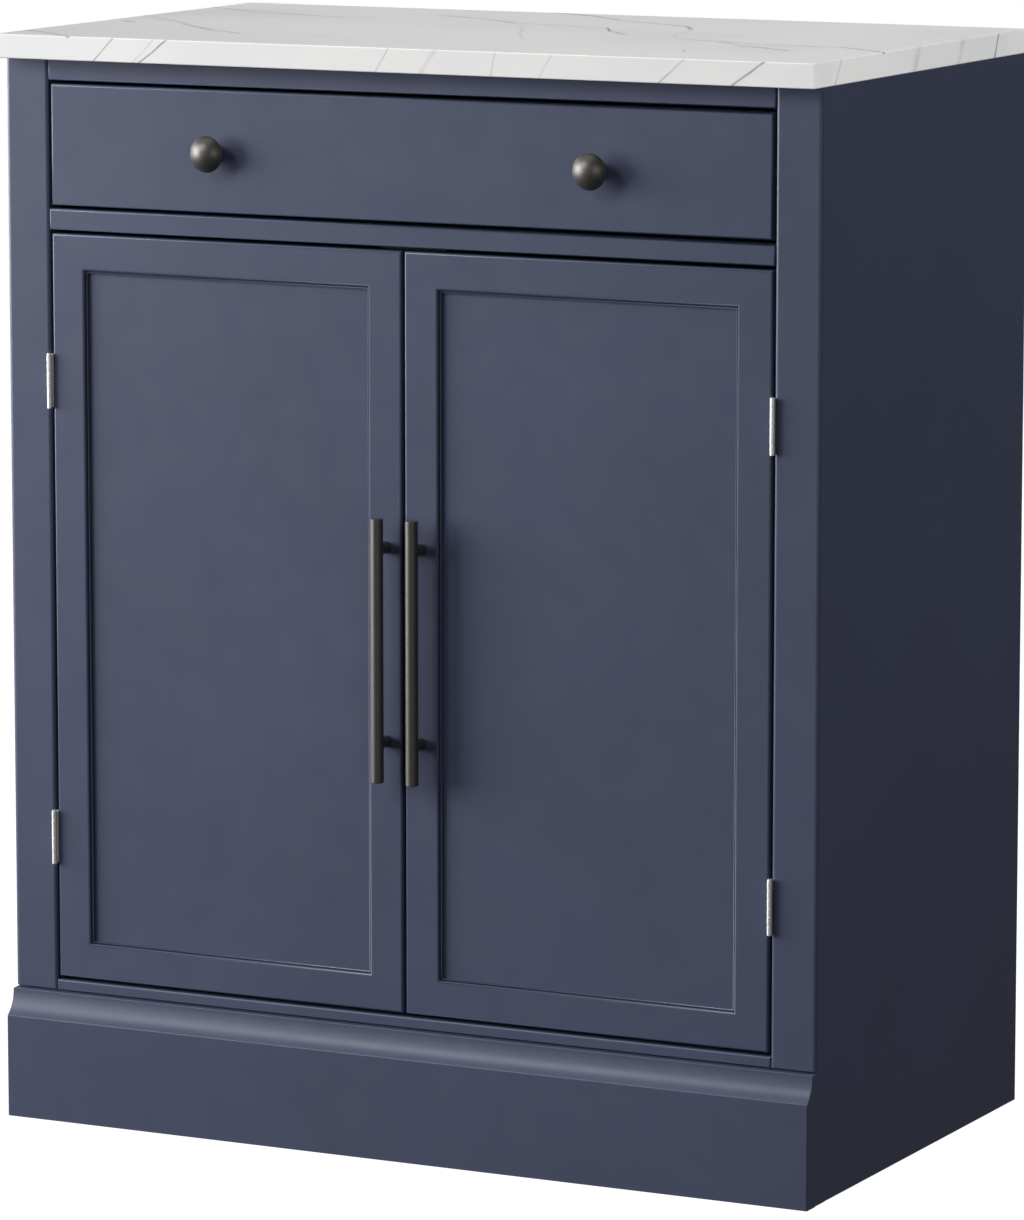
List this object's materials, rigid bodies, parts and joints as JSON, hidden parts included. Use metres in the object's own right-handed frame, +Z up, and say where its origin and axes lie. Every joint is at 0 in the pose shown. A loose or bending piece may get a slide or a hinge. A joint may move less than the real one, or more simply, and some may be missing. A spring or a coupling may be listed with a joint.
{
  "type": "kitchen island cabinet",
  "caption": "Free-standing kitchen island cabinet with a marble-look worktop, a full-width drawer and a pair of inset panel doors on a coved plinth.",
  "frame": {"origin": "middle of the whole object's box on the floor", "axes": "+X to the cabinet's right as seen from the front, +Y to the rear (the doors face -Y), +Z up"},
  "size_m": [0.74, 0.4406, 0.9144],
  "materials": {
    "blue_paint": "satin slate-blue paint on board",
    "marble_laminate": "satin white laminate with grey marble veins",
    "birch_board": "clear-lacquered birch",
    "gunmetal": "satin dark gunmetal coating",
    "hinge_steel": "bright nickel-plated steel",
    "zinc_steel": "bright zinc-plated steel",
    "catch_plastic": "matte black plastic"
  },
  "bodies": {
    "carcass": {"countertop": "marble_laminate", "left_side_panel": "blue_paint", "right_side_panel": "blue_paint", "left_face_stile": "blue_paint", "right_face_stile": "blue_paint", "top_face_rail": "blue_paint", "mid_face_rail": "blue_paint", "bottom_face_rail": "blue_paint", "drawer_divider": "blue_paint", "bottom_panel": "blue_paint", "back_panel": "blue_paint", "rear_stretcher": "blue_paint", "plinth": "blue_paint", "rear_toe_board": "blue_paint", "shelf": "blue_paint", "shelf_pins": "hinge_steel", "left_slide_spacer": "birch_board", "right_slide_spacer": "birch_board", "left_slide_outer": "zinc_steel", "right_slide_outer": "zinc_steel", "left_frame_leaves": "hinge_steel", "right_frame_leaves": "hinge_steel", "hinge_pins": "hinge_steel", "frame_leaf_screws": "hinge_steel", "magnetic_catch": "catch_plastic", "countertop_screws": "zinc_steel"},
    "drawer": {"drawer_front": "blue_paint", "drawer_left_side": "birch_board", "drawer_right_side": "birch_board", "drawer_back": "birch_board", "drawer_bottom": "birch_board", "left_slide_inner": "zinc_steel", "right_slide_inner": "zinc_steel", "left_knob": "gunmetal", "right_knob": "gunmetal", "knob_screws": "zinc_steel"},
    "left_slide_middle": {"left_slide_middle": "zinc_steel"},
    "right_slide_middle": {"right_slide_middle": "zinc_steel"},
    "left_door": {"left_door_hinge_stile": "blue_paint", "left_door_lock_stile": "blue_paint", "left_door_top_rail": "blue_paint", "left_door_bottom_rail": "blue_paint", "left_door_panel": "blue_paint", "left_handle_bar": "gunmetal", "left_handle_posts": "gunmetal", "left_handle_screws": "zinc_steel", "left_door_leaves": "hinge_steel", "left_leaf_screws": "hinge_steel", "left_strike_plate": "hinge_steel"},
    "right_door": {"right_door_hinge_stile": "blue_paint", "right_door_lock_stile": "blue_paint", "right_door_top_rail": "blue_paint", "right_door_bottom_rail": "blue_paint", "right_door_panel": "blue_paint", "right_handle_bar": "gunmetal", "right_handle_posts": "gunmetal", "right_handle_screws": "zinc_steel", "right_door_leaves": "hinge_steel", "right_leaf_screws": "hinge_steel", "right_strike_plate": "hinge_steel"}
  },
  "joints": [
    {"name": "drawer_slide", "type": "slide", "parent": "carcass", "child": "drawer", "axis": [0, -1, 0], "range_m": [0, 0.33]},
    {"name": "left_slide_middle_slide", "type": "slide", "parent": "carcass", "child": "left_slide_middle", "axis": [0, -1, 0], "range_m": [0, 0.165]},
    {"name": "right_slide_middle_slide", "type": "slide", "parent": "carcass", "child": "right_slide_middle", "axis": [0, -1, 0], "range_m": [0, 0.165]},
    {"name": "left_door_hinge", "type": "hinge", "parent": "carcass", "child": "left_door", "pos_m": [-0.3296, -0.2014, 0.4355], "axis": [0, 0, -1], "range_deg": [0, 175]},
    {"name": "right_door_hinge", "type": "hinge", "parent": "carcass", "child": "right_door", "pos_m": [0.3296, -0.2014, 0.4355], "axis": [0, 0, 1], "range_deg": [0, 175]}
  ],
  "couplings": [
    {"joint": "left_slide_middle_slide", "follows": "drawer_slide", "ratio": 0.5},
    {"joint": "right_slide_middle_slide", "follows": "drawer_slide", "ratio": 0.5}
  ]
}
